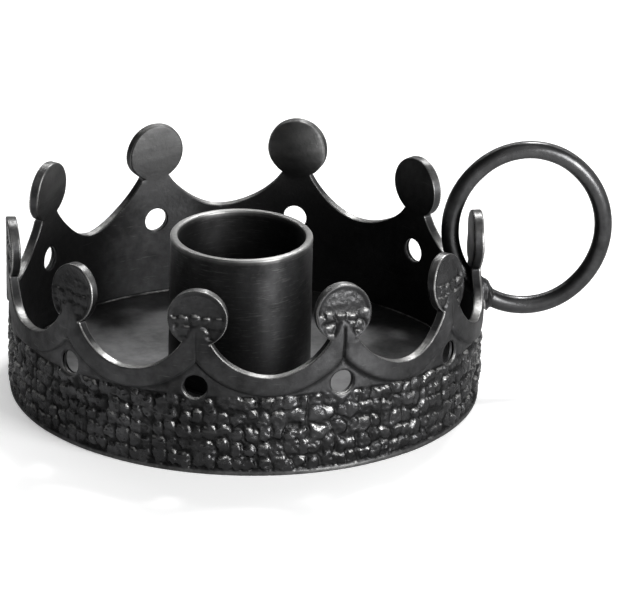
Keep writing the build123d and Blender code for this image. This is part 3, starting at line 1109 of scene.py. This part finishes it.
def iron(name, colour, roughness, bare_roughness, stretch, scratch_share, scratch_light, grain_scale,
         grain_strength, ragged, brushed=0.0, cast_strength=0.0, cast_polish=0.0, edge_tint=white):
    """Blackened iron with bare metal where it is rubbed and at painted highlights, painted shade, fine
    scratches and a rough skin.

    Brushed is how much the scratches round an upright axis draw a highlight out up and down."""
    material = bpy.data.materials.new(name)
    material.use_nodes = True
    tree = material.node_tree
    tree.nodes.clear()
    place = add_node(tree, "ShaderNodeTexCoord").outputs["Object"]

    def mark(mark_name):
        return add_node(tree, "ShaderNodeAttribute", attribute_name=mark_name).outputs["Fac"]

    def use(group, inputs):
        return add_node(tree, "ShaderNodeGroup", inputs, node_tree=groups[group]).outputs[0]

    def times(first, second):
        return worked_out(tree, "MULTIPLY", first, second)

    def plus(first, second):
        return worked_out(tree, "ADD", first, second)

    def minus(first, second):
        return worked_out(tree, "SUBTRACT", first, second)

    def mix_colour(share, first, second):
        share_in, first_in, second_in, colour_out = 0, 6, 7, 2
        inputs = {share_in: share, first_in: first, second_in: second}
        return add_node(tree, "ShaderNodeMix", inputs, data_type="RGBA").outputs[colour_out]

    def toned(share):
        return tuple(share * part for part in colour[:3]) + (1,)

    tone = use("mottle", {"Place": place, "Scale": mottle_scale})
    lines = use("scratch", {"Place": place, "Stretch": stretch, "Share": scratch_share})
    # bare metal where rubbed, and painted highlights: glints, hole lips, the foot, rims, the bar and
    # up-facing cut faces
    rubbed = worked_out(tree, "MAXIMUM", mark("rub_and_highlight"), times(mark("cut"), cut_face_highlight))
    worn_and_highlit = use("rub_and_highlight", {"Place": place, "Mask": rubbed, "Ragged": ragged})
    soot_and_shade = mark("soot_and_shade")
    brush_and_light = mark("brush_and_light")
    cast = mark("cast")
    skin = mix_colour(tone, toned(dark_tone_share), toned(light_tone_share))
    # pale brushed tone, partly painted light
    skin = mix_colour(brush_and_light, skin, pale_brushed_and_lit_iron)
    skin = mix_colour(times(lines, plus(scratch_light, times(brush_and_light, brush_line_light))), skin, bare_iron)
    # painted shade, and darker filler
    skin = mix_colour(times(soot_and_shade, soot_and_shade_cover), skin, soot_and_shade_colour)
    skin = mix_colour(worn_and_highlit, skin, bare_iron)
    uneven = mapped(tree, tone, 0.0, 1.0, roughness + tone_roughness, roughness - tone_roughness)
    sooty = plus(minus(uneven, times(cast, cast_polish)), times(soot_and_shade, soot_and_shade_roughness))
    rough = plus(times(sooty, minus(1.0, worn_and_highlit)), times(worn_and_highlit, bare_roughness))
    skin_strength = plus(grain_strength, times(cast, cast_strength))
    normal = use("grain", {"Place": place, "Scale": grain_scale, "Strength": skin_strength})
    shader = add_node(tree, "ShaderNodeBsdfPrincipled",
                      {"Base Color": skin, "Metallic": 1.0, "Roughness": rough, "Normal": normal,
                       "Anisotropic": brushed, "Anisotropic Rotation": quarter_turn,
                       "Specular Tint": edge_tint})
    if brushed:
        around = add_node(tree, "ShaderNodeTangent", direction_type="RADIAL", axis="Z")
        tree.links.new(around.outputs["Tangent"], shader.inputs["Tangent"])
    output = add_node(tree, "ShaderNodeOutputMaterial")
    tree.links.new(shader.outputs["BSDF"], output.inputs["Surface"])
    return material


crown_band(iron(
    "Crown iron", dark_iron, roughness=0.45, bare_roughness=0.36, stretch=(260.0, 260.0, 2600.0),
    scratch_share=0.4, scratch_light=0.16, grain_scale=1500.0, grain_strength=0.22, ragged=0.7,
    brushed=0.65, cast_strength=0.4, cast_polish=0.25, edge_tint=dark_edge))
base_plate(iron(
    "Plate iron", plate_colour, roughness=0.52, bare_roughness=0.3, stretch=(260.0, 1800.0, 260.0),
    scratch_share=0.4, scratch_light=0.1, grain_scale=1200.0, grain_strength=0.12, ragged=0.5))
candle_cup(iron(
    "Tube iron", dark_iron, roughness=0.48, bare_roughness=0.36, stretch=(330.0, 330.0, 3600.0),
    scratch_share=0.55, scratch_light=0.3, grain_scale=1500.0, grain_strength=0.1, ragged=0.25, brushed=0.6))
filler_metal = iron(
    "Filler", filler_colour, roughness=0.4, bare_roughness=0.28, stretch=(600.0, 600.0, 600.0),
    scratch_share=0.3, scratch_light=0.2, grain_scale=1500.0, grain_strength=0.3, ragged=1.0)
braze("base-braze", "base_braze", plate_radius, -1, 0.0, base_filler_rub, filler_metal)
braze("cup-braze", "cup_braze", cup_radius, 1, cup_x, cup_filler_rub, filler_metal)
ring_handle(iron(
    "Bar iron", bar_colour, roughness=0.31, bare_roughness=0.24, stretch=(900.0, 900.0, 900.0),
    scratch_share=0.3, scratch_light=0.1, grain_scale=1500.0, grain_strength=0.14, ragged=0.8,
    edge_tint=dark_edge))
handle_weld(iron(
    "Weld metal", dark_iron, roughness=0.32, bare_roughness=0.24, stretch=(900.0, 900.0, 900.0),
    scratch_share=0.3, scratch_light=0.1, grain_scale=1800.0, grain_strength=0.3, ragged=0.8,
    cast_strength=0.4, edge_tint=dark_edge))


# Floor, light and camera

floor_colour = (0.95, 0.95, 0.95, 1)
floor_size = 6000.0
floor_glow = 0.32                # only to the camera, so that the floor is white
view_elevation = radians(22.625)
view_turn = radians(-6.594)      # the camera stands this far round from the crown's -Y side
view_roll = radians(1.211)
view_distance = 2000.0
view_shift_right = 11.772        # from the crown's origin to the middle of the picture
view_shift_up = 16.18
picture_width = 110.64           # millimetres across the picture at the crown's origin
sensor_width = 36.0
world_light = 0.22               # on the floor
ceiling_light = 0.3              # what the iron mirrors from above, where it mirrors white all round it
left_share = 0.12                # of that on the left
view_end = 20.0                  # metres


def floor():
    """Plain pale floor under the object."""
    half = floor_size / 2 * MM
    mesh = bpy.data.meshes.new("floor")
    corners = [(-half, -half, 0), (half, -half, 0), (half, half, 0), (-half, half, 0)]
    mesh.from_pydata(corners, [], [(0, 1, 2, 3)])
    material = bpy.data.materials.new("Floor")
    material.use_nodes = True
    shader = material.node_tree.nodes["Principled BSDF"]
    shader.inputs["Base Color"].default_value = floor_colour
    shader.inputs["Roughness"].default_value = 1.0
    shader.inputs["Specular IOR Level"].default_value = 0.0
    tree = material.node_tree
    seen = add_node(tree, "ShaderNodeLightPath").outputs["Is Camera Ray"]
    glow = add_node(tree, "ShaderNodeEmission", {"Strength": worked_out(tree, "MULTIPLY", seen, floor_glow)})
    both = add_node(tree, "ShaderNodeAddShader", {0: shader.outputs["BSDF"], 1: glow.outputs["Emission"]})
    tree.links.new(both.outputs["Shader"], tree.nodes["Material Output"].inputs["Surface"])
    mesh.materials.append(material)
    piece = bpy.data.objects.new("floor", mesh)
    bpy.context.scene.collection.objects.link(piece)


right = Vector((cos(view_turn), sin(view_turn), 0))
front = Vector((sin(view_turn), -cos(view_turn), 0))
towards = front * cos(view_elevation) + Vector((0, 0, sin(view_elevation)))
upwards = towards.cross(right)


def lamp(name, place, width, height, watts):
    """Soft lamp that looks at the object. Its place is right, towards the camera and up."""
    light = bpy.data.lights.new(name, "AREA")
    light.shape = "RECTANGLE"
    light.size = width * MM
    light.size_y = height * MM
    light.energy = watts
    piece = bpy.data.objects.new(name, light)
    piece.location = (right * place[0] + front * place[1] + Vector((0, 0, place[2]))) * MM
    piece.rotation_euler = piece.location.to_track_quat("Z", "Y").to_euler()
    bpy.context.scene.collection.objects.link(piece)


def camera():
    """Camera at the photograph's angle, with its slight roll."""
    data = bpy.data.cameras.new("camera")
    data.sensor_width = sensor_width
    data.lens = sensor_width * view_distance / picture_width
    data.clip_end = view_end
    piece = bpy.data.objects.new("camera", data)
    place = towards * view_distance
    aim = right * view_shift_right + upwards * view_shift_up
    backwards = (place - aim).normalized()
    level = Vector((0, 0, 1)).cross(backwards).normalized()
    upright = backwards.cross(level)
    across = level * cos(view_roll) + upright * sin(view_roll)
    above = upright * cos(view_roll) - level * sin(view_roll)
    turn = Matrix((across, above, backwards)).transposed()
    piece.matrix_world = Matrix.Translation(place * MM) @ turn.to_4x4()
    bpy.context.scene.collection.objects.link(piece)
    bpy.context.scene.camera = piece


def world():
    """Plain surroundings: white to the camera, and to the iron too but for the ceiling and the left."""
    made = bpy.data.worlds.new("world")
    made.use_nodes = True
    tree = made.node_tree
    path = add_node(tree, "ShaderNodeLightPath").outputs
    direction = add_node(tree, "ShaderNodeTexCoord").outputs["Generated"]

    def along(axis):
        inputs = {0: direction, 1: axis}
        return add_node(tree, "ShaderNodeVectorMath", inputs, operation="DOT_PRODUCT").outputs["Value"]

    upper = mapped(tree, along((0, 0, 1)), low=0.35, high=0.75, to_low=1.0, to_high=ceiling_light)
    sides = mapped(tree, along(tuple(right)), low=-0.7, high=0.2, to_low=left_share)
    mirrored = worked_out(tree, "MULTIPLY", upper, sides)
    beyond = worked_out(tree, "SUBTRACT", mirrored, world_light)
    glossy = worked_out(tree, "MULTIPLY", path["Is Glossy Ray"], beyond)
    lit = worked_out(tree, "ADD", glossy, world_light)
    strength = worked_out(tree, "MAXIMUM", lit, path["Is Camera Ray"])
    background = tree.nodes["Background"]
    background.inputs["Color"].default_value = white
    tree.links.new(strength, background.inputs["Strength"])
    bpy.context.scene.world = made


floor()
world()
camera()
lamp("key", place=(515.0, 475.0, 195.0), width=340.0, height=340.0, watts=6.2)
lamp("top", place=(140.0, 330.0, 620.0), width=480.0, height=480.0, watts=0.45)
lamp("back", place=(155.0, -430.0, 590.0), width=130.0, height=130.0, watts=2.8)
lamp("strip", place=(60.0, -560.0, 660.0), width=1500.0, height=60.0, watts=3.8)
bpy.context.scene.view_settings.view_transform = "Standard"
